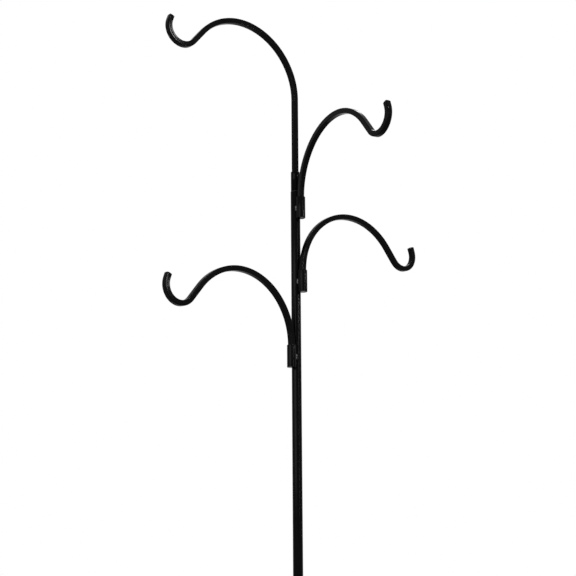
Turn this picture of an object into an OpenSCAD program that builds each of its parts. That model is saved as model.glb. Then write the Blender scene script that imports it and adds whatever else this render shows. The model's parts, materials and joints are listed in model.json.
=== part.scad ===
// Hanging plant stand: a two-piece pole on four bent legs, with four hook arms that swivel in tube sockets.
// The origin is on the pole's axis at floor level. +Z is up, and -Y faces the viewer.

/* [Pole] */
// Outside diameter of the pole tube
pole_d = 19; // [16:0.5:25]
// Wall of the pole tube
pole_wall = 1.5; // [1:0.1:2]
// Length of each of the two pole sections, without the spigot
section_len = 900; // [700:10:1100]
// Length of the swaged spigot that joins the sections
spigot_len = 45; // [25:1:80]
// Radial clearance of everything that plugs into the pole
plug_gap = 0.05; // [0.02:0.01:0.1]
// Small bevel on the tube ends
tube_bevel = 0.5; // [0.3:0.1:0.8]

/* [Arms] */
// Side of the square bar that the arms and legs are bent from, over its powder coat
bar_side = 10.5; // [8:0.5:12]
// Radius of the bar's four long corners
bar_corner = 1.2; // [0.8:0.1:2]
// Centreline radius of an arm's arch
arch_r = 130; // [110:1:150]
// Angle that the arch turns through, from straight up
arch_turn = 141; // [130:1:150]
// Straight run between the arch and the hook
run_len = 34; // [20:1:50]
// Centreline radius of the hook
hook_r = 31.5; // [25:0.5:38]
// Angle that the hook turns back through
hook_turn = 161; // [145:1:185]
// Straight end of the hook, with its crowned tip
tip_len = 10; // [4:1:16]
// Radius of the slight dome on the bar's cut ends, as a multiple of the bar's half diagonal
tip_dome = 2.5; // [1.5:0.1:4]
// Straight stem of the top arm above its socket
top_stem = 156; // [120:1:240]

/* [Sockets] */
// Length of a socket tube
socket_len = 44; // [34:1:60]
// Wall of a socket tube
socket_wall = 1.5; // [1.2:0.05:1.9]
// Radial clearance between the bar's corners and the socket's bore
stem_gap = 0.4; // [0.3:0.05:0.8]
// Thickness of the floor in each socket
floor_t = 2; // [1:0.5:4]
// Rounding of the socket's outer edges
socket_round = 0.9; // [0.3:0.1:1.1]
// Distance from the pole's top end down to the upper socket's rim
socket_drop = 13; // [6:1:40]
// Height between one side socket and the next
socket_pitch = 150; // [145:1:220]
// Radius of a weld bead
weld_r = 2.6; // [2:0.1:3]
// Length of a weld bead between its round ends
weld_len = 6; // [3:0.5:12]
// Distance of a bead from the line where pole and socket touch
weld_out = 4.9; // [4:0.1:5.5]

/* [Directions] */
// Side of the pole that carries the upper socket, in degrees from +X
upper_side = -54; // [-180:1:180]
// Side of the pole that carries the middle socket
middle_side = -43; // [-180:1:180]
// Side of the pole that carries the lower socket
lower_side = -122; // [-180:1:180]
// Direction that the top arm points in
top_aim = -141; // [-180:1:180]
// Turn of the upper arm from straight out of the pole
upper_swing = -6; // [-120:1:120]
// Turn of the middle arm from straight out of the pole
middle_swing = 82; // [-120:1:120]
// Turn of the lower arm from straight out of the pole
lower_swing = -14; // [-120:1:120]

/* [Legs] */
// Height at which a leg leaves the pole
leg_rise = 200; // [170:1:260]
// Length of leg that lies against the pole
tab_len = 140; // [120:1:160]
// Centreline radius of a leg's arch
leg_arch_r = 60; // [45:1:80]
// Angle that a leg's arch turns through, from straight up
leg_turn = 150; // [140:1:160]
// Centreline radius of the bend above the toe
sweep_r = 60; // [40:1:90]
// Straight toe that lies along the floor
toe_len = 42; // [36:1:70]
// Direction of the rear right leg, in degrees from +X
leg_side = 45; // [0:1:90]

/* [Rubber feet] */
// Wall of the rubber cap on a toe, which is also its thickness under the bar
cap_wall = 2; // [1.5:0.1:3]
// Thickness of the cap's closed end
cap_end = 3; // [2:0.5:5]
// Length of bar inside the cap
cap_depth = 30; // [20:1:34]
// Thickness of the rubber foot under the pole
pad_t = 4; // [3:0.5:8]
// Diameter of the rubber foot under the pole
pad_d = 26; // [24:0.5:28]
// Length of the foot's plug inside the pole
pad_plug = 18; // [10:1:30]

/* [Fasteners] */
// Bolt diameter
bolt_d = 6; // [5:1:6]
// Radial clearance of the bolt holes
bolt_gap = 0.25; // [0.15:0.05:0.5]
// Distance from a tab's lower end to its first bolt, on the first pair of legs
bolt_edge = 20; // [15:1:25]
// Height between the two bolts of a pair of legs
bolt_pitch = 80; // [60:1:85]
// How much higher the second pair's bolts sit, so that they cross inside the pole
pair_step = 18; // [14:1:20]
// Width across the flats of the bolt heads and nuts
hex_flats = 10; // [9:0.5:11]
// Height of a bolt head
head_t = 4; // [3:0.5:5]
// Height of a cap nut's hexagon
nut_t = 5; // [4:0.5:6]
// Washer diameter
washer_d = 12; // [11.5:0.5:14]
// Washer thickness
washer_t = 1.2; // [0.8:0.1:2]

/* [Hidden] */
bend_fn = 60;
tube_fn = 48;
corner_fn = 16;
paint = [0.09, 0.09, 0.095];
bright = [0.16, 0.16, 0.17];
gum = [0.05, 0.05, 0.05];
// How far a cutting shape runs past what it cuts
slack = 1;
// How far a straight stretch of bar laps into the bend next to it
lap = 0.3;
// How much smaller a straight stretch is on each side, so that its faces stay inside the bend's
shy = 0.01;
// Room between an arm's foot and the floor of its socket
seat_gap = 0.3;

pole_r = pole_d / 2;
pole_bore_r = pole_r - pole_wall;
plug_r = pole_bore_r - plug_gap;
joint_z = pad_t + section_len;
pole_top = joint_z + section_len;

// The bar's half diagonal, over its rounded corners
bar_reach = (bar_side / 2 - bar_corner) * sqrt(2) + bar_corner;
bore_r = bar_reach + stem_gap;
socket_r = bore_r + socket_wall;
socket_offset = pole_r + socket_r;
seat_depth = socket_len - floor_t;
top_rim = pole_top + floor_t + seat_depth;
upper_rim = pole_top - socket_drop;
middle_rim = upper_rim - socket_pitch;
lower_rim = middle_rim - socket_pitch;

tab_x = pole_r + bar_side / 2;
toe_z = cap_wall + bar_side / 2;
// The leg's straight run has the length that brings the toe down to the floor
leg_drop = leg_rise + leg_arch_r * sin(leg_turn) - sweep_r * (1 - sin(leg_turn)) - toe_z;
leg_run = -leg_drop / cos(leg_turn);
cap_side = bar_side + 2 * cap_wall;

bolt_r = bolt_d / 2;
hole_r = bolt_r + bolt_gap;
first_bolt = leg_rise - tab_len + bolt_edge;
clamp_half = pole_r + bar_side;
hex_r = hex_flats / 2 / cos(30);
dome_r = hex_flats / 2 - 0.6;

// One row for each side socket: the side of the pole that it is on, and the height of its rim
side_sockets = [
    [upper_side, upper_rim],
    [middle_side, middle_rim],
    [lower_side, lower_rim]
];

// ---- Shared shapes ----

// A square with round corners, centred, with straight sides of exact length
module rounded_square(side, corner) {
    square([side, side - 2 * corner], center = true);
    square([side - 2 * corner, side], center = true);
    for (sx = [-1, 1], sy = [-1, 1])
        translate([sx * (side / 2 - corner), sy * (side / 2 - corner)])
            circle(r = corner, $fn = corner_fn);
}

module bar_profile() {
    rounded_square(bar_side, bar_corner);
}

// Straight bar from the origin up. It laps into the bend behind it, and ahead by the given length
module run(length, ahead) {
    translate([0, 0, -lap])
        linear_extrude(height = lap + length + ahead)
            rounded_square(bar_side - 2 * shy, bar_corner - shy);
}

// Bar that starts at the origin pointing up, and bends towards +X
module bend(radius, turn) {
    translate([radius, 0, 0])
        rotate([90, 0, 0])
            rotate_extrude(angle = turn, start = 180 - turn, $fn = bend_fn)
                translate([radius, 0]) bar_profile();
}

// Moves its children to the end of such a bend
module after_bend(radius, turn) {
    translate([radius, 0, 0]) rotate([0, turn, 0]) translate([-radius, 0, 0]) children();
}

// The same pair for a bend towards -X
module bend_back(radius, turn) {
    translate([-radius, 0, 0])
        rotate([90, 0, 0])
            rotate_extrude(angle = turn, start = 0, $fn = bend_fn)
                translate([radius, 0]) bar_profile();
}

module after_bend_back(radius, turn) {
    translate([-radius, 0, 0]) rotate([0, -turn, 0]) translate([radius, 0, 0]) children();
}

// Straight bar from the origin up, whose far end is dressed to a slight dome
module bar_end(length) {
    nose = bar_reach * tip_dome;
    intersection() {
        run(length, 0);
        translate([0, 0, length - nose])
            rotate_extrude($fn = tube_fn) {
                translate([0, -length]) square([nose, length]);
                intersection() {
                    circle(r = nose, $fn = tube_fn);
                    square(nose);
                }
            }
    }
}

// A tube standing on the origin, with rounded outer edges
module socket_tube() {
    straight = socket_len - 2 * socket_round;
    rotate_extrude($fn = tube_fn)
        difference() {
            union() {
                translate([0, socket_round]) square([socket_r, straight]);
                square([socket_r - socket_round, socket_len]);
                for (z = [socket_round, socket_len - socket_round])
                    translate([socket_r - socket_round, z]) circle(r = socket_round, $fn = 24);
            }
            translate([0, -slack]) square([bore_r, socket_len + 2 * slack]);
        }
}

// Places its children on a side socket's axis, at its rim
module on_side(side, rim) {
    rotate([0, 0, side]) translate([socket_offset, 0, rim]) children();
}

// ---- Pole ----

module pole_lower() {
    color(paint)
        difference() {
            translate([0, 0, pad_t])
                rotate_extrude($fn = tube_fn)
                    polygon([
                        [pole_bore_r, 0], [pole_r - tube_bevel, 0], [pole_r, tube_bevel],
                        [pole_r, section_len - tube_bevel], [pole_r - tube_bevel, section_len],
                        [pole_bore_r, section_len]
                    ]);
            each_bolt() rotate([0, 90, 0])
                cylinder(r = hole_r, h = pole_d + 2 * slack, center = true, $fn = 32);
        }
}

// The upper section is swaged at its lower end, so that it plugs into the lower one
module pole_upper() {
    spigot_bore_r = plug_r - pole_wall;
    cone = 2 * (pole_bore_r - spigot_bore_r);
    color(paint)
        translate([0, 0, joint_z])
            rotate_extrude($fn = tube_fn)
                polygon([
                    [spigot_bore_r, -spigot_len], [plug_r - tube_bevel, -spigot_len],
                    [plug_r, tube_bevel - spigot_len], [plug_r, 0],
                    [pole_r - tube_bevel, 0], [pole_r, tube_bevel],
                    [pole_r, section_len], [pole_bore_r, section_len],
                    [pole_bore_r, cone], [spigot_bore_r, 0]
                ]);
}

// Rubber foot under the pole, with a barbed plug
module pole_foot() {
    barb = 1.2;
    color(gum)
        rotate_extrude($fn = tube_fn) {
            square([pad_d / 2 - 1, pad_t]);
            translate([0, 1]) square([pad_d / 2, pad_t - 2]);
            for (z = [1, pad_t - 1])
                translate([pad_d / 2 - 1, z]) circle(r = 1, $fn = 24);
            square([plug_r - barb, pad_t + pad_plug]);
            for (k = [1, 2, 3])
                translate([0, pad_t + k * pad_plug / 4])
                    polygon([[0, -barb], [plug_r, -barb], [plug_r - barb, barb], [0, barb]]);
        }
}

// Plug that closes the pole's top end. Its flange is the floor of the top socket
module pole_top_plug() {
    plug_len = 12;
    color(paint)
        translate([0, 0, pole_top]) {
            cylinder(r = pole_r, h = floor_t, $fn = tube_fn);
            translate([0, 0, -plug_len]) cylinder(r = plug_r, h = plug_len, $fn = tube_fn);
        }
}

// ---- Sockets ----

module top_socket() {
    color(paint)
        translate([0, 0, pole_top + floor_t])
            rotate_extrude($fn = tube_fn)
                difference() {
                    union() {
                        square([socket_r, seat_depth - socket_round]);
                        square([socket_r - socket_round, seat_depth]);
                        translate([socket_r - socket_round, seat_depth - socket_round])
                            circle(r = socket_round, $fn = 24);
                    }
                    translate([0, -slack]) square([bore_r, seat_depth + 2 * slack]);
                }
}

module side_socket(side, rim) {
    color(paint) on_side(side, rim) translate([0, 0, -socket_len]) socket_tube();
}

module upper_socket() {
    side_socket(upper_side, upper_rim);
}

module middle_socket() {
    side_socket(middle_side, middle_rim);
}

module lower_socket() {
    side_socket(lower_side, lower_rim);
}

// Disc in a side socket's lower end, which the arm stands on
module socket_floor(side, rim) {
    color(paint)
        on_side(side, rim)
            translate([0, 0, -socket_len]) cylinder(r = bore_r, h = floor_t, $fn = tube_fn);
}

module upper_socket_floor() {
    socket_floor(upper_side, upper_rim);
}

module middle_socket_floor() {
    socket_floor(middle_side, middle_rim);
}

module lower_socket_floor() {
    socket_floor(lower_side, lower_rim);
}

// Ring of weld in the corner between the top socket and the plug's flange
module top_socket_weld() {
    color(bright)
        translate([0, 0, pole_top + floor_t])
            rotate_extrude($fn = tube_fn)
                translate([socket_r, 0])
                    intersection() {
                        circle(r = pole_r - socket_r, $fn = 24);
                        square(pole_r);
                    }
}

// Two beads for each side socket, in the grooves on both sides of the line where it touches the pole
module socket_welds() {
    color(bright)
        for (s = side_sockets, hand = [-1, 1])
            difference() {
                rotate([0, 0, s[0]])
                    translate([pole_r, hand * weld_out, s[1] - socket_len / 2]) {
                        cylinder(r = weld_r, h = weld_len, center = true, $fn = 24);
                        for (end = [-1, 1])
                            translate([0, 0, end * weld_len / 2]) sphere(r = weld_r, $fn = 24);
                    }
                cylinder(r = pole_r, h = pole_top, $fn = tube_fn);
                on_side(s[0], s[1])
                    translate([0, 0, -socket_len]) cylinder(r = socket_r, h = socket_len, $fn = tube_fn);
            }
}

// ---- Arms ----

// Hook arm with its socket's rim at the origin. It points along +X and stands on the socket's floor
module hook_arm(stem) {
    color(paint) {
        translate([0, 0, stem]) rotate([180, 0, 0]) bar_end(stem + seat_depth - seat_gap);
        translate([0, 0, stem]) {
            bend(arch_r, arch_turn);
            after_bend(arch_r, arch_turn) {
                run(run_len, lap);
                translate([0, 0, run_len]) {
                    bend_back(hook_r, hook_turn);
                    after_bend_back(hook_r, hook_turn) bar_end(tip_len);
                }
            }
        }
    }
}

module top_arm() {
    translate([0, 0, top_rim]) rotate([0, 0, top_aim]) hook_arm(top_stem);
}

module side_arm(side, rim, swing) {
    on_side(side, rim) rotate([0, 0, swing]) hook_arm(0);
}

module upper_arm() {
    side_arm(upper_side, upper_rim, upper_swing);
}

module middle_arm() {
    side_arm(middle_side, middle_rim, middle_swing);
}

module lower_arm() {
    side_arm(lower_side, lower_rim, lower_swing);
}

// ---- Legs ----

// Moves its children to the start of a leg's toe, where local +Z runs outwards along the floor
module at_toe(turned) {
    rotate([0, 0, leg_side + turned])
        translate([tab_x, 0, leg_rise])
            after_bend(leg_arch_r, leg_turn)
                translate([0, 0, leg_run])
                    after_bend_back(sweep_r, leg_turn - 90) children();
}

// A leg bent from the same bar. turned is its place round the pole, and lift raises its bolt holes
module leg(turned, lift) {
    color(paint)
        difference() {
            union() {
                rotate([0, 0, leg_side + turned])
                    translate([tab_x, 0, leg_rise]) {
                        rotate([180, 0, 0]) bar_end(tab_len);
                        bend(leg_arch_r, leg_turn);
                        after_bend(leg_arch_r, leg_turn) {
                            run(leg_run, lap);
                            translate([0, 0, leg_run]) bend_back(sweep_r, leg_turn - 90);
                        }
                    }
                at_toe(turned) run(toe_len, 0);
            }
            rotate([0, 0, leg_side + turned])
                for (k = [0, 1])
                    translate([tab_x, 0, first_bolt + lift + k * bolt_pitch])
                        rotate([0, 90, 0])
                            cylinder(r = hole_r, h = bar_side + 2 * slack, center = true, $fn = 32);
        }
}

module rear_right_leg() {
    leg(0, 0);
}

module rear_left_leg() {
    leg(90, pair_step);
}

module front_left_leg() {
    leg(180, 0);
}

module front_right_leg() {
    leg(270, pair_step);
}

// Rubber cap that a toe is pushed into. Its underside is the floor
module foot_cap(turned) {
    color(gum)
        at_toe(turned)
            translate([0, 0, toe_len - cap_depth])
                difference() {
                    linear_extrude(height = cap_depth + cap_end)
                        rounded_square(cap_side, bar_corner + cap_wall / 2);
                    translate([0, 0, -slack]) linear_extrude(height = cap_depth + slack) bar_profile();
                }
}

module rear_right_foot_cap() {
    foot_cap(0);
}

module rear_left_foot_cap() {
    foot_cap(90);
}

module front_left_foot_cap() {
    foot_cap(180);
}

module front_right_foot_cap() {
    foot_cap(270);
}

// ---- Fasteners ----

// Places its children on each of the four bolts' axes, with local +X towards the rear leg of the pair
module each_bolt() {
    for (pair = [0, 1], k = [0, 1])
        rotate([0, 0, leg_side + 90 * pair])
            translate([0, 0, first_bolt + pair * pair_step + k * bolt_pitch]) children();
}

module leg_bolts() {
    grip = clamp_half + washer_t;
    color(bright)
        each_bolt() rotate([0, 90, 0]) {
            translate([0, 0, -grip]) cylinder(r = bolt_r, h = 2 * grip + nut_t, $fn = 32);
            translate([0, 0, -grip - head_t])
                intersection() {
                    cylinder(r = hex_r, h = head_t, $fn = 6);
                    rotate_extrude($fn = tube_fn)
                        polygon([
                            [0, 0], [hex_flats / 2 - 0.2, 0], [hex_r + 0.1, 0.9],
                            [hex_r + 0.1, head_t], [0, head_t]
                        ]);
                }
        }
}

module leg_washers() {
    color(bright)
        each_bolt() rotate([0, 90, 0])
            for (z = [-clamp_half - washer_t, clamp_half])
                translate([0, 0, z])
                    difference() {
                        cylinder(r = washer_d / 2, h = washer_t, $fn = tube_fn);
                        translate([0, 0, -slack]) cylinder(r = hole_r, h = washer_t + 2 * slack, $fn = 32);
                    }
}

module leg_cap_nuts() {
    color(bright)
        each_bolt() rotate([0, 90, 0])
            translate([0, 0, clamp_half + washer_t])
                difference() {
                    union() {
                        cylinder(r = hex_r, h = nut_t, $fn = 6);
                        translate([0, 0, nut_t]) sphere(r = dome_r, $fn = 32);
                    }
                    translate([0, 0, -slack]) cylinder(r = bolt_r + plug_gap, h = nut_t + 1.5 * slack, $fn = 32);
                    translate([0, 0, -2 * dome_r]) cylinder(r = hex_r, h = 2 * dome_r, $fn = 32);
                }
}

pole_lower();
pole_upper();
pole_foot();
pole_top_plug();
top_socket();
upper_socket();
middle_socket();
lower_socket();
upper_socket_floor();
middle_socket_floor();
lower_socket_floor();
top_socket_weld();
socket_welds();
top_arm();
upper_arm();
middle_arm();
lower_arm();
rear_right_leg();
rear_left_leg();
front_left_leg();
front_right_leg();
rear_right_foot_cap();
rear_left_foot_cap();
front_left_foot_cap();
front_right_foot_cap();
leg_bolts();
leg_washers();
leg_cap_nuts();
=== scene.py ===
import json
import math

import bpy
from mathutils import Matrix, Vector, noise


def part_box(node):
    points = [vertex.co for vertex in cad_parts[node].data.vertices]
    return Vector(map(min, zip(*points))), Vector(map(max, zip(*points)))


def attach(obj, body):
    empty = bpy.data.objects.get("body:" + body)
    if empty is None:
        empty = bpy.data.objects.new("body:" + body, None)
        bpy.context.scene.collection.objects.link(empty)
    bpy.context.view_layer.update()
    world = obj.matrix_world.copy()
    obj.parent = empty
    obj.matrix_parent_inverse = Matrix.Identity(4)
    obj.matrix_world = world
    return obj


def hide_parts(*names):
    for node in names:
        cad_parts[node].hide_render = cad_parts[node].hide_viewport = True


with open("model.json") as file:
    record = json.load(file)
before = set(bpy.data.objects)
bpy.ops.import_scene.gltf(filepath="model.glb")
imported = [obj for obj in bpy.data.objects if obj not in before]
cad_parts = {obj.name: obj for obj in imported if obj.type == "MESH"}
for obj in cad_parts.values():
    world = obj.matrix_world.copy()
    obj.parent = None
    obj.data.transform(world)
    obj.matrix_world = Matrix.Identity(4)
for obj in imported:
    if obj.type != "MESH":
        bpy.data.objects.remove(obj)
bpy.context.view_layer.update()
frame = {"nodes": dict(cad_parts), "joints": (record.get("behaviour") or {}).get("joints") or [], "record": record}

# ---- Sizes, in metres ----

MM = 0.001

POLE_R = 9.5 * MM
POLE_WALL = 1.5 * MM
TUBE_BEVEL = 0.5 * MM
SPIGOT_GAP = 0.05 * MM

BAR_SIDE = 10.5 * MM
BAR_CORNER = 1.2 * MM
BAR_EDGE = 0.8 * MM             # rounding between a bar's end and its sides
CROWN = 2.5                     # radius of a bar's crowned end, in half diagonals of the bar
CROWN_SHARES = (0.03, 0.3, 0.6, 0.85, 1.0)      # rings of the crown, as shares of its outline
EDGE_STEPS = 5
END_ROOM = 0.4 * MM             # between the end's last ring and the next ring of the bar
FLAT_SHARES = (0.17, 0.33, 0.5, 0.67, 0.83)     # extra points along each flat of an outline
# In a bend, the bar's inner side widens by SWELL times half the bar's side over the bend's radius.
SWELL = 0.4
ARCH_R = 130 * MM
ARCH_TURN = math.radians(141)
HOOK_RUN = 34 * MM
HOOK_R = 31.3 * MM              # 0.2 mm under the source's, so that the hooks stay in the CAD box
HOOK_TURN = math.radians(161)
TIP = 10 * MM
TOP_STEM = 156 * MM
STEP = 2 * MM                   # the longest stretch between two rings of a bar

TURNED_SIDES = 96
ARC_STEPS = 6                   # stretches of each quarter turn in an outline

SOCKET_LEN = 44 * MM
SOCKET_ROUND = 0.9 * MM
MOUTH = 0.35 * MM
BORE_R = 7.328 * MM             # 0.4 mm round the bar's corners
SOCKET_R = 8.828 * MM
FLOOR_T = 2 * MM
SEAT_GAP = 0.3 * MM

TAB = 140 * MM
LEG_RISE = 200 * MM
LEG_ARCH_R = 60 * MM
LEG_TURN = math.radians(150)
LEG_SWEEP_R = 60 * MM
TOE = 42 * MM

CAP_WALL = 2 * MM
CAP_END = 3 * MM
CAP_DEPTH = 30 * MM
CAP_GAP = 0.01 * MM             # between the bar and the cap, on each side
CAP_LIP = 0.6 * MM              # easing of the cap's mouth
CAP_MOUTH = 0.5 * MM            # how deep the bore is eased
CAP_ROUND = 2.2 * MM            # rounding of the cap's far end
CAP_TIGHTEN = 0.6               # how fast the corners tighten in that rounding, for each inset
CAP_CORNER = 0.8 * MM           # the least corner of the cap's far end
GROOVES = (9 * MM, 14 * MM, 19 * MM)            # from the cap's mouth
GROOVE_DEPTH = 0.35 * MM
GROOVE_TOP = 0.7 * MM           # half the width of a groove at its mouth
GROOVE_FLOOR = 0.3 * MM         # half the width of a groove at its floor
TOE_Z = BAR_SIDE / 2 + CAP_WALL

WELD_R = 2.6 * MM
WELD_HALF = 5.6 * MM
WELD_OUT = 4.9 * MM
WELD_SAG = 0.4 * MM
BEAD_SIDES = 28
BEAD_ROWS = 36
BEAD_RIPPLES = 6
BEAD_WAVE = 0.07                # height of a ripple, as a share of the bead's radius
BEAD_LUMPS = 0.08               # unevenness, as a share of the bead's radius
BEAD_POINT = 0.03               # the bead's least radius, at its ends, as a share
RING_SIDES = 240
RING_STEPS = 8
RING_RIPPLES = 30
RING_VALLEY = 0.86              # size of the ring weld between two ripples, as a share
RING_OVERLAP = 0.2 * MM         # how far the ring weld goes into the socket's wall

SIDE_ARMS = ("upper", "middle", "lower")
LEGS = {"rear_right": 45, "rear_left": 135, "front_left": 225, "front_right": 315}
UP = Vector((0, 0, 1))

# ---- Colours ----

COAT_DARK = (0.001, 0.001, 0.0011)
COAT_PALE = (0.0024, 0.0024, 0.0025)
# Painted shade: the colour that the coat's edges are darkened towards.
COAT_EDGE_SHADE = (0.0012, 0.0012, 0.0012)
DUST = (0.08, 0.077, 0.072)
ZINC_DARK = (0.018, 0.018, 0.02)
ZINC_PALE = (0.05, 0.049, 0.05)
RUBBER_DARK = (0.008, 0.008, 0.008)
RUBBER_DUSTY = (0.02, 0.019, 0.018)


# ---- Meshes ----

def new_piece(name, vertices, faces, material, body):
    """A smooth mesh object that rides on a body."""
    mesh = bpy.data.meshes.new(name)
    mesh.from_pydata([tuple(v) for v in vertices], [], faces)
    mesh.validate()
    mesh.update()
    mesh.polygons.foreach_set("use_smooth", [True] * len(mesh.polygons))
    mesh.materials.append(material)
    piece = bpy.data.objects.new(name, mesh)
    bpy.context.scene.collection.objects.link(piece)
    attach(piece, body)
    return piece


def bridge(rings, around):
    """Faces of a closed skin over a number of rings, each with the given number of vertices."""
    faces = [tuple(reversed(range(around)))]
    for k in range(rings - 1):
        a = k * around
        for i in range(around):
            j = (i + 1) % around
            faces.append((a + i, a + j, a + around + j, a + around + i))
    last = (rings - 1) * around
    faces.append(tuple(range(last, last + around)))
    return faces


def rounded_square(side, corner):
    """The outline of a square with round corners, with extra points along its flats."""
    half = side / 2 - corner
    corners = []
    for quarter in range(4):
        turn = math.pi / 2 * quarter
        cx = half * math.sqrt(2) * math.cos(turn + math.pi / 4)
        cy = half * math.sqrt(2) * math.sin(turn + math.pi / 4)
        angles = [turn + math.pi / 2 * k / ARC_STEPS for k in range(ARC_STEPS + 1)]
        corners.append([(cx + corner * math.cos(a), cy + corner * math.sin(a)) for a in angles])
    points = []
    for quarter in range(4):
        points += corners[quarter]
        ax, ay = corners[quarter][-1]
        bx, by = corners[(quarter + 1) % 4][0]
        points += [(ax + (bx - ax) * share, ay + (by - ay) * share) for share in FLAT_SHARES]
    return points


def lathe(name, outline, place, material, body):
    """Revolves a closed outline of (radius, height) points about a vertical axis."""
    vertices = []
    for r, z in outline:
        for k in range(TURNED_SIDES):
            a = 2 * math.pi * k / TURNED_SIDES
            vertices.append(place + Vector((r * math.cos(a), r * math.sin(a), z)))
    faces = []
    rows = len(outline)
    for row in range(rows):
        below = row * TURNED_SIDES
        above = (row + 1) % rows * TURNED_SIDES
        for k in range(TURNED_SIDES):
            n = (k + 1) % TURNED_SIDES
            faces.append((below + k, below + n, above + n, above + k))
    return new_piece(name, vertices, faces, material, body)


def arc(cx, cz, radius, start, end):
    """Points of an arc in an outline, with its angles in degrees."""
    turns = [(end - start) * k / ARC_STEPS for k in range(ARC_STEPS + 1)]
    angles = [math.radians(start + turn) for turn in turns]
    return [(cx + radius * math.cos(a), cz + radius * math.sin(a)) for a in angles]


# ---- Bent square bar ----

def bar_route(parts):
    """Stations along a bent bar, as (outward, up, heading, curvature).

    A part is a length and a turn: the turn is 0 for a straight run. Heading 0 is straight up, and a
    positive turn bends the bar outwards."""
    out, up, heading = 0.0, 0.0, 0.0
    stations = [(out, up, heading, 0.0)]
    for length, turn in parts:
        pieces = max(1, math.ceil(length / STEP))
        curvature = turn / length
        chord = length / pieces
        if turn:
            chord = 2 / abs(curvature) * math.sin(abs(turn) / pieces / 2)
        for _ in range(pieces):
            middle = heading + turn / pieces / 2
            out += chord * math.sin(middle)
            up += chord * math.cos(middle)
            heading += turn / pieces
            stations.append((out, up, heading, curvature))
    return stations


def eased(values, passes=3):
    """Smooths a list a little, with its ends kept."""
    for _ in range(passes):
        inner = [(a + 2 * b + c) / 4 for a, b, c in zip(values, values[1:], values[2:])]
        values = [values[0]] + inner + [values[-1]]
    return values


def crowned_end():
    """Rings of a bar's end from its middle outwards, each a list of (n, b, how far back)."""
    nose = ((BAR_SIDE / 2 - BAR_CORNER) * math.sqrt(2) + BAR_CORNER) * CROWN
    flat = rounded_square(BAR_SIDE - 2 * BAR_EDGE, BAR_CORNER - BAR_EDGE)
    rings = []
    for share in CROWN_SHARES:
        spots = [(n * share, b * share) for n, b in flat]
        rings.append([(n, b, nose - math.sqrt(nose ** 2 - n * n - b * b)) for n, b in spots])
    rim = [back for _, _, back in rings[-1]]
    for k in range(1, EDGE_STEPS + 1):
        turn = math.pi / 2 * k / EDGE_STEPS
        inset = BAR_EDGE * (1 - math.sin(turn))
        outline = rounded_square(BAR_SIDE - 2 * inset, BAR_CORNER - inset)
        drop = BAR_EDGE * (1 - math.cos(turn))
        rings.append([(n, b, back + drop) for (n, b), back in zip(outline, rim)])
    return rings


def bar_piece(name, parts, base, aim, material, body):
    """A square bar along a route from base, bending towards the direction aim.

    In a cold bend the bar's inner side swells sideways, and its outer side narrows."""
    stations = bar_route(parts)
    squeeze = eased([s[3] for s in stations])
    outward = Vector((math.cos(aim), math.sin(aim), 0))
    sideways = Vector((-math.sin(aim), math.cos(aim), 0))
    profile = rounded_square(BAR_SIDE, BAR_CORNER)

    def ring(station, spots):
        out, up, heading, _ = station
        along = outward * math.sin(heading) + UP * math.cos(heading)
        normal = outward * math.cos(heading) - UP * math.sin(heading)
        centre = base + outward * out + UP * up
        return [centre + normal * n + sideways * b + along * t for n, b, t in spots]

    first, last = stations[0], stations[-1]
    end = crowned_end()
    reach = max(back for _, _, back in end[-1]) + END_ROOM
    rings = [ring(first, spots) for spots in end]
    for station, curvature in zip(stations, squeeze):
        if min(math.dist(station[:2], first[:2]), math.dist(station[:2], last[:2])) > reach:
            swell = SWELL * curvature / (BAR_SIDE / 2)
            spots = [(n, b * (1 + swell * n * abs(n)), 0) for n, b in profile]
            rings.append(ring(station, spots))
    rings += [ring(last, [(n, b, -t) for n, b, t in spots]) for spots in reversed(end)]
    vertices = [p for r in rings for p in r]
    return new_piece(name, vertices, bridge(len(rings), len(profile)), material, body)


def joint(name):
    """The frame's row for a joint."""
    return next(j for j in frame["joints"] if j["name"] == name)


def mount(name):
    """The record's row for a mount."""
    return next(m for m in frame["record"]["mounts"] if m["name"] == name)


def add_arm(which, stem, material):
    """One hook arm, from the floor of its socket to the tip of its hook."""
    rim = Vector(joint(which + "_arm_swivel")["pos_m"])
    hook = Vector(mount(which + "_hook")["pos_m"])
    aim = math.atan2(hook.y - rim.y, hook.x - rim.x)
    below = SOCKET_LEN - FLOOR_T - SEAT_GAP     # the stem's length inside the socket
    parts = [
        (below + stem, 0.0),
        (ARCH_R * ARCH_TURN, ARCH_TURN),
        (HOOK_RUN, 0.0),
        (HOOK_R * HOOK_TURN, -HOOK_TURN),
        (TIP, 0.0),
    ]
    arm = which + "_arm"
    piece = bar_piece(arm + "_bar", parts, rim - UP * below, aim, material, arm)
    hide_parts(arm)


def add_leg(which, degrees, material):
    """One leg, from the lower end of its tab up, over and out along the floor."""
    bends = LEG_ARCH_R * math.sin(LEG_TURN) - LEG_SWEEP_R * (1 - math.sin(LEG_TURN))
    drop = LEG_RISE + bends - TOE_Z
    back = LEG_TURN - math.pi / 2
    parts = [
        (TAB, 0.0),
        (LEG_ARCH_R * LEG_TURN, LEG_TURN),
        (-drop / math.cos(LEG_TURN), 0.0),
        (LEG_SWEEP_R * back, -back),
        (TOE, 0.0),
    ]
    aim = math.radians(degrees)
    tab = POLE_R + BAR_SIDE / 2
    base = Vector((tab * math.cos(aim), tab * math.sin(aim), LEG_RISE - TAB))
    piece = bar_piece(which + "_leg_bar", parts, base, aim, material, "stand")
    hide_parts(which + "_leg")


# ---- Pole and sockets ----

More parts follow.
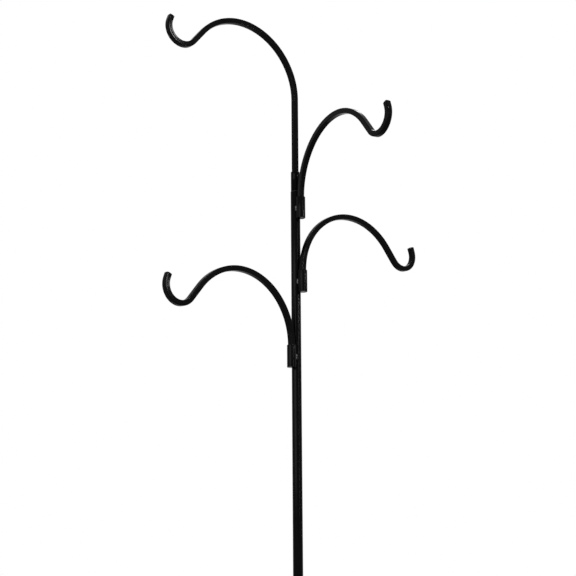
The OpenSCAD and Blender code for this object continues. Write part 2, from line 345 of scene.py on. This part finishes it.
def add_pole(material):
    """The two tubes of the pole, with finely rounded ends and a spigot below the upper one."""
    inner = POLE_R - POLE_WALL
    bevel = POLE_R - TUBE_BEVEL
    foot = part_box("pole_lower")[0].z
    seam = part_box("pole_lower")[1].z
    spigot_end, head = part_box("pole_upper")[0].z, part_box("pole_upper")[1].z
    for node, bottom, top in (("pole_lower", foot, seam), ("pole_upper", seam, head)):
        side = arc(bevel, bottom + TUBE_BEVEL, TUBE_BEVEL, -90, 0)
        side += arc(bevel, top - TUBE_BEVEL, TUBE_BEVEL, 0, 90)
        if node == "pole_lower":
            outline = [(inner, bottom)] + side + [(inner, top)]
        else:
            spigot = inner - SPIGOT_GAP
            wall = spigot - POLE_WALL
            outline = [(wall, spigot_end), (spigot, spigot_end), (spigot, bottom)] + side
            outline += [(inner, top), (inner, bottom + 2 * POLE_WALL), (wall, bottom)]
        piece = lathe(node + "_tube", outline, Vector((0, 0, 0)), material, "stand")
        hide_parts(node)


def socket_outline(length, foot_round):
    """A socket's section, from its foot up: round outer edges, and a fine chamfer in the mouth."""
    outline = [(BORE_R, 0.0)]
    if foot_round:
        outline += arc(SOCKET_R - SOCKET_ROUND, SOCKET_ROUND, SOCKET_ROUND, -90, 0)
    else:
        outline += [(SOCKET_R, 0.0)]
    outline += arc(SOCKET_R - SOCKET_ROUND, length - SOCKET_ROUND, SOCKET_ROUND, 0, 90)
    return outline + [(BORE_R + MOUTH, length), (BORE_R, length - MOUTH)]


def add_sockets(material):
    """The four socket tubes, each at the place of its CAD node."""
    for which in ("top",) + SIDE_ARMS:
        node = which + "_socket"
        low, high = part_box(node)
        place = Vector(((low.x + high.x) / 2, (low.y + high.y) / 2, low.z))
        outline = socket_outline(high.z - low.z, which != "top")
        piece = lathe(node + "_tube", outline, place, material, "stand")
        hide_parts(node)


# ---- Welds ----

def bead(centre, across, outward, seed):
    """Vertices and faces of one weld bead: a short upright blob with ripples and narrow ends."""
    vertices = []
    for row in range(BEAD_ROWS + 1):
        share = row / BEAD_ROWS
        up = -WELD_HALF * math.cos(math.pi * share)
        waist = math.sqrt(max(0.0, 1 - (up / WELD_HALF) ** 4))
        wave = 1 + BEAD_WAVE * math.sin(2 * math.pi * BEAD_RIPPLES * share + seed)
        for k in range(BEAD_SIDES):
            a = 2 * math.pi * k / BEAD_SIDES
            # A bead takes a stretch of the noise that is 3 long, and its seed says where it starts.
            spot = Vector((math.cos(a), math.sin(a), 3 * share + 7 * seed))
            lump = 1 + BEAD_LUMPS * noise.noise(spot)
            radius = WELD_R * max(waist, BEAD_POINT) * wave * lump
            offset = across * radius * math.cos(a) + outward * radius * math.sin(a)
            sag = WELD_SAG * math.sin(a) * math.sin(a)
            vertices.append(centre + offset + UP * (up - sag))
    return vertices, bridge(BEAD_ROWS + 1, BEAD_SIDES)


def add_socket_welds(material):
    """Two beads for each side socket, in the grooves between it and the pole."""
    vertices, faces = [], []
    for index, which in enumerate(SIDE_ARMS):
        low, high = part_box(which + "_socket")
        middle = (low + high) / 2
        outward = Vector((middle.x, middle.y, 0)).normalized()
        across = Vector((-outward.y, outward.x, 0))
        for hand in (-1, 1):
            centre = outward * POLE_R + across * hand * WELD_OUT + UP * middle.z
            more, more_faces = bead(centre, across, outward, 2 * index + hand)
            faces += [tuple(len(vertices) + i for i in f) for f in more_faces]
            vertices += more
    piece = new_piece("socket_weld_beads", vertices, faces, material, "stand")
    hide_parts("socket_welds")


def add_ring_weld(material):
    """The rippled ring of weld at the foot of the top socket."""
    low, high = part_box("top_socket_weld")
    size = high.z - low.z
    vertices = []
    for k in range(RING_SIDES):
        a = 2 * math.pi * k / RING_SIDES
        grow = RING_VALLEY + (1 - RING_VALLEY) * abs(math.sin(RING_RIPPLES * a / 2))
        for s in range(RING_STEPS + 1):
            b = math.pi / 2 * s / RING_STEPS
            r = SOCKET_R + size * grow * math.cos(b)
            z = low.z + size * grow * math.sin(b)
            vertices.append(Vector((r * math.cos(a), r * math.sin(a), z)))
        inner = SOCKET_R - RING_OVERLAP
        vertices.append(Vector((inner * math.cos(a), inner * math.sin(a), low.z)))
    row = RING_STEPS + 2
    faces = []
    for k in range(RING_SIDES):
        n = (k + 1) % RING_SIDES
        for s in range(row):
            t = (s + 1) % row
            faces.append((k * row + s, n * row + s, n * row + t, k * row + t))
    piece = new_piece("top_socket_weld_ring", vertices, faces, material, "stand")
    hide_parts("top_socket_weld")


# ---- Rubber caps ----

def add_foot_cap(which, degrees, material):
    """A slip-on rubber cap with a rounded end, three grip grooves and an eased mouth."""
    node = which + "_foot_cap"
    aim = math.radians(degrees)
    outward = Vector((math.cos(aim), math.sin(aim), 0))
    sideways = Vector((-math.sin(aim), math.cos(aim), 0))
    side = BAR_SIDE + 2 * CAP_WALL
    corner = BAR_CORNER + CAP_WALL / 2
    low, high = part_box(node)
    # A turned cap's box stands out past its end, and the last term takes that off again.
    far = max(abs(low.x), abs(high.x)) * abs(outward.x)
    far += max(abs(low.y), abs(high.y)) * abs(outward.y)
    far -= side * abs(outward.x * outward.y)
    near = far - CAP_DEPTH - CAP_END
    bore = BAR_SIDE + 2 * CAP_GAP

    def ring(reach, width, radius):
        spots = rounded_square(width, radius)
        return [outward * reach + sideways * x + UP * (side / 2 + z) for x, z in spots]

    rings = [
        ring(near + CAP_DEPTH, bore, BAR_CORNER),
        ring(near + CAP_MOUTH, bore, BAR_CORNER),
        ring(near, bore + 2 * CAP_LIP, BAR_CORNER + CAP_LIP),
        ring(near, side - 2 * CAP_LIP, corner - CAP_LIP / 2),
    ]
    for share in (0.3, 0.6, 1.0):
        left = CAP_LIP * (1 - share)
        rings.append(ring(near + CAP_LIP * share, side - 2 * left, corner - left / 2))
    groove_profile = (
        (-GROOVE_TOP, 0.0),
        (-GROOVE_FLOOR, GROOVE_DEPTH),
        (GROOVE_FLOOR, GROOVE_DEPTH),
        (GROOVE_TOP, 0.0),
    )
    for groove in GROOVES:
        for ahead, deep in groove_profile:
            rings.append(ring(near + groove + ahead, side - 2 * deep, corner - deep))
    for k in range(ARC_STEPS + 1):
        a = math.pi / 2 * k / ARC_STEPS
        inset = CAP_ROUND * (1 - math.cos(a))
        reach = far - CAP_ROUND * (1 - math.sin(a))
        radius = max(corner - inset * CAP_TIGHTEN, CAP_CORNER)
        rings.append(ring(reach, side - 2 * inset, radius))
    vertices = [p for r in rings for p in r]
    faces = bridge(len(rings), len(rings[0]))
    piece = new_piece(node + "_boot", vertices, faces, material, "stand")
    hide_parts(node)


# ---- Materials ----

class Shader:
    """A material with one Principled shader, and short ways to add nodes to it."""

    def __init__(self, name):
        self.material = bpy.data.materials.new(name)
        self.material.use_nodes = True
        self.tree = self.material.node_tree
        self.out = self.tree.nodes["Principled BSDF"]
        self.position = self.add("ShaderNodeTexCoord").outputs["Object"]

    def add(self, kind, **settings):
        node = self.tree.nodes.new(kind)
        for key, value in settings.items():
            setattr(node, key, value)
        return node

    def link(self, source, target):
        self.tree.links.new(source, target)

    def noise(self, scale, detail, rough=0.5):
        """Noise with the given number of cells to the metre."""
        node = self.add("ShaderNodeTexNoise")
        node.inputs["Scale"].default_value = scale
        node.inputs["Detail"].default_value = detail
        node.inputs["Roughness"].default_value = rough
        self.link(self.position, node.inputs["Vector"])
        return node.outputs["Fac"]

    def span(self, source, low, high, to_low=0.0, to_high=1.0):
        """Maps low to high on to another span, smoothly and clamped."""
        node = self.add("ShaderNodeMapRange", interpolation_type="SMOOTHSTEP")
        settings = {"From Min": low, "From Max": high, "To Min": to_low, "To Max": to_high}
        for key, value in settings.items():
            node.inputs[key].default_value = value
        self.link(source, node.inputs["Value"])
        return node.outputs["Result"]

    def times(self, a, b):
        """The product of a socket and a number or another socket."""
        node = self.add("ShaderNodeMath", operation="MULTIPLY")
        self.link(a, node.inputs[0])
        if isinstance(b, float):
            node.inputs[1].default_value = b
        else:
            self.link(b, node.inputs[1])
        return node.outputs[0]

    def mix(self, share, low, high):
        """A mix of two colours, each a tuple or a socket. Inputs 6 and 7 are the node's colours."""
        node = self.add("ShaderNodeMix", data_type="RGBA")
        self.link(share, node.inputs["Factor"])
        for index, colour in ((6, low), (7, high)):
            if isinstance(colour, tuple):
                node.inputs[index].default_value = (*colour, 1)
            else:
                self.link(colour, node.inputs[index])
        return node.outputs[2]

    def bump(self, height, distance, strength, under=None):
        """A bump normal, on top of another one where under is given."""
        node = self.add("ShaderNodeBump")
        node.inputs["Distance"].default_value = distance
        node.inputs["Strength"].default_value = strength
        self.link(height, node.inputs["Height"])
        if under is not None:
            self.link(under, node.inputs["Normal"])
        return node.outputs["Normal"]

    def finish(self, tone, roughness, normal, metallic, specular):
        """Joins the shader's inputs and hands over the material."""
        self.link(tone, self.out.inputs["Base Color"])
        self.link(roughness, self.out.inputs["Roughness"])
        self.link(normal, self.out.inputs["Normal"])
        self.out.inputs["Metallic"].default_value = metallic
        self.out.inputs["Specular IOR Level"].default_value = specular
        return self.material


def powder_coat(name, smooth, rough, specular):
    """Black powder coat: orange peel, a faint mottle, painted shade on the edges and a trace of dust on top.

    Its roughness lies between smooth and rough."""
    s = Shader(name)
    tone = s.mix(s.noise(18.0, 3.0), COAT_DARK, COAT_PALE)
    geometry = s.add("ShaderNodeNewGeometry")
    # Painted shade: the sharp edges are darkened, which draws thin dark lines along the bars' edges.
    edge_shade = s.span(geometry.outputs["Pointiness"], 0.51, 0.58)
    tone = s.mix(s.times(edge_shade, 0.7), tone, COAT_EDGE_SHADE)
    split = s.add("ShaderNodeSeparateXYZ")
    s.link(geometry.outputs["Normal"], split.inputs[0])
    speck = s.span(s.noise(420.0, 5.0, 0.7), 0.5, 0.72)
    settled = s.times(s.span(split.outputs["Z"], 0.35, 1.0), speck)
    tone = s.mix(s.times(settled, 0.1), tone, DUST)
    roughness = s.span(s.noise(60.0, 3.0), 0.3, 0.7, smooth, rough)
    peel = s.bump(s.noise(650.0, 2.0), 0.1 * MM, 0.14)
    grain = s.bump(s.noise(2600.0, 1.0), 0.03 * MM, 0.12, peel)
    return s.finish(tone, roughness, grain, metallic=0.0, specular=specular)


def black_zinc():
    """Blackened zinc on the bolts, washers and nuts: dark metal with a faint mottle."""
    s = Shader("black_fasteners")
    tone = s.mix(s.noise(500.0, 4.0), ZINC_DARK, ZINC_PALE)
    roughness = s.span(s.noise(900.0, 3.0), 0.3, 0.7, 0.28, 0.5)
    grain = s.bump(s.noise(1800.0, 2.0), 0.04 * MM, 0.3)
    return s.finish(tone, roughness, grain, metallic=0.85, specular=0.5)


def rubber():
    """Moulded black rubber, dull and finely grained, with dust in the grain."""
    s = Shader("black_rubber")
    grain = s.noise(2200.0, 2.0)
    dust = s.span(s.noise(90.0, 5.0), 0.45, 0.75)
    tone = s.mix(dust, RUBBER_DARK, RUBBER_DUSTY)
    roughness = s.span(grain, 0.3, 0.7, 0.62, 0.82)
    return s.finish(tone, roughness, s.bump(grain, 0.08 * MM, 0.5), metallic=0.0, specular=0.3)


def paint_nodes(materials):
    """Gives every CAD node the material of its slot."""
    for row in frame["record"]["subparts"]:
        mesh = frame["nodes"][row["node"]].data
        mesh.materials.clear()
        mesh.materials.append(materials[row["material_slot"]])


# ---- Floor, world, lights and camera ----

def seen_directly(tree):
    """A socket that is 1 for camera, glossy and transmission rays."""
    path = tree.nodes.new("ShaderNodeLightPath")
    total = path.outputs["Is Camera Ray"]
    for name in ("Is Glossy Ray", "Is Transmission Ray"):
        both = tree.nodes.new("ShaderNodeMath")
        both.operation = "MAXIMUM"
        tree.links.new(total, both.inputs[0])
        tree.links.new(path.outputs[name], both.inputs[1])
        total = both.outputs[0]
    return total


def add_world(ambient):
    """White where it is seen, and an even light of the given strength on matt surfaces."""
    world = bpy.data.worlds.new("studio")
    bpy.context.scene.world = world
    world.use_nodes = True
    tree = world.node_tree
    tree.nodes.clear()
    mix = tree.nodes.new("ShaderNodeMixShader")
    output = tree.nodes.new("ShaderNodeOutputWorld")
    tree.links.new(seen_directly(tree), mix.inputs[0])
    for index, strength in ((1, ambient), (2, 1.0)):
        light = tree.nodes.new("ShaderNodeBackground")
        light.inputs["Color"].default_value = (1, 1, 1, 1)
        light.inputs["Strength"].default_value = strength
        tree.links.new(light.outputs[0], mix.inputs[index])
    tree.links.new(mix.outputs[0], output.inputs[0])


def add_floor(radius, fade_start, fade_end, tone):
    """A pale round floor that fades into the white world between two distances from the stand."""
    sides = 128
    vertices = [(0, 0, 0)]
    for k in range(sides):
        a = 2 * math.pi * k / sides
        vertices.append((radius * math.cos(a), radius * math.sin(a), 0))
    faces = [(0, 1 + k, 1 + (k + 1) % sides) for k in range(sides)]
    mesh = bpy.data.meshes.new("floor")
    mesh.from_pydata(vertices, [], faces)
    floor = bpy.data.objects.new("floor", mesh)
    bpy.context.scene.collection.objects.link(floor)

    material = bpy.data.materials.new("floor")
    material.use_nodes = True
    tree = material.node_tree
    tree.nodes.clear()
    place = tree.nodes.new("ShaderNodeTexCoord")
    length = tree.nodes.new("ShaderNodeVectorMath")
    length.operation = "LENGTH"
    tree.links.new(place.outputs["Object"], length.inputs[0])
    fade = tree.nodes.new("ShaderNodeMapRange")
    fade.interpolation_type = "SMOOTHSTEP"
    fade.inputs["From Min"].default_value = fade_start
    fade.inputs["From Max"].default_value = fade_end
    tree.links.new(length.outputs["Value"], fade.inputs["Value"])
    share = tree.nodes.new("ShaderNodeMath")
    share.operation = "MULTIPLY"
    tree.links.new(fade.outputs["Result"], share.inputs[0])
    tree.links.new(seen_directly(tree), share.inputs[1])
    matt = tree.nodes.new("ShaderNodeBsdfDiffuse")
    matt.inputs["Color"].default_value = (tone, tone, tone, 1)
    glow = tree.nodes.new("ShaderNodeEmission")
    glow.inputs["Color"].default_value = (1, 1, 1, 1)
    glow.inputs["Strength"].default_value = 1.0
    mix = tree.nodes.new("ShaderNodeMixShader")
    output = tree.nodes.new("ShaderNodeOutputMaterial")
    tree.links.new(share.outputs[0], mix.inputs[0])
    tree.links.new(matt.outputs[0], mix.inputs[1])
    tree.links.new(glow.outputs[0], mix.inputs[2])
    tree.links.new(mix.outputs[0], output.inputs["Surface"])
    mesh.materials.append(material)


def add_lamp(name, place, target, width, height, power):
    """A soft box of the given width and height that faces a point."""
    light = bpy.data.lights.new(name, "AREA")
    light.shape = "RECTANGLE"
    light.size = width
    light.size_y = height
    light.energy = power
    lamp = bpy.data.objects.new(name, light)
    lamp.location = place
    lamp.rotation_euler = (Vector(target) - Vector(place)).to_track_quat("-Z", "Y").to_euler()
    bpy.context.scene.collection.objects.link(lamp)


def add_strip(name, top, bottom, target, width, power):
    """A narrow soft box from top to bottom, which faces the target."""
    top, bottom, target = Vector(top), Vector(bottom), Vector(target)
    middle = (top + bottom) / 2
    add_lamp(name, middle, target, width, (top - bottom).length, power)
    lamp = bpy.data.objects[name]
    back = (middle - target).normalized()
    side = (top - bottom).cross(back).normalized()
    lamp.rotation_euler = Matrix((side, back.cross(side), back)).transposed().to_euler()


def add_camera(place, pitch, roll, lens):
    """A camera that looks along +Y, tilted up by pitch and turned about its own view by roll."""
    data = bpy.data.cameras.new("camera")
    data.sensor_width = 36
    data.lens = lens
    camera = bpy.data.objects.new("camera", data)
    tilt = Matrix.Rotation(math.pi / 2 + math.radians(pitch), 4, "X")
    turn = tilt @ Matrix.Rotation(math.radians(roll), 4, "Z")
    camera.matrix_world = Matrix.Translation(place) @ turn
    bpy.context.scene.collection.objects.link(camera)
    bpy.context.scene.camera = camera


# ---- The stand ----

materials = {
    "black_powder_coat": powder_coat("black_powder_coat", smooth=0.11, rough=0.18, specular=0.025),
    "black_fasteners": black_zinc(),
    "black_rubber": rubber(),
}
paint_nodes(materials)
paint = materials["black_powder_coat"]
# Paint pools in the ripples of the welds, and its gloss makes the small bright spots on the beads.
pooled_paint = powder_coat("black_powder_coat_on_welds", smooth=0.12, rough=0.2, specular=0.5)
add_pole(paint)
add_sockets(paint)
add_socket_welds(pooled_paint)
add_ring_weld(pooled_paint)
add_arm("top", TOP_STEM, paint)
for arm_name in SIDE_ARMS:
    add_arm(arm_name, 0.0, paint)
for leg_name, leg_degrees in LEGS.items():
    add_leg(leg_name, leg_degrees, paint)
    add_foot_cap(leg_name, leg_degrees, materials["black_rubber"])

bpy.context.scene.view_settings.view_transform = "Standard"
add_world(0.3)
add_floor(radius=9.0, fade_start=0.63, fade_end=3.15, tone=0.86)

# The wide key lights the left half of the pole. The strips draw the thin highlights: line on the
# pole and the sockets, rim_high on the top hook and rim_low on the lower hook.
add_lamp("key", (-2.0, -2.57, 2.05), (0, 0, 1.6), width=3.0, height=1.6, power=95)
add_strip("line", (2.23, -2.0, 2.9), (2.23, -2.0, 1.1), (0, 0, 1.6), width=0.1, power=24)
add_strip(
    "rim_high", (0.985, -0.80, 2.71), (1.08, -0.74, 2.55), (-0.23, -0.19, 2.06), width=0.04, power=7
)
add_strip(
    "rim_low", (2.45, -1.02, 2.42), (2.51, -1.00, 2.14), (-0.22, -0.22, 1.56), width=0.06, power=18
)
add_lamp("back", (0.5, 2.2, 4.0), (-0.1, 0, 1.8), width=2.0, height=0.4, power=14)

# The photograph's view: from below the arms, tilted up, with the base under the frame.
add_camera((-0.01585, -2.122, 1.1302), pitch=12.685, roll=-0.326, lens=68.75)
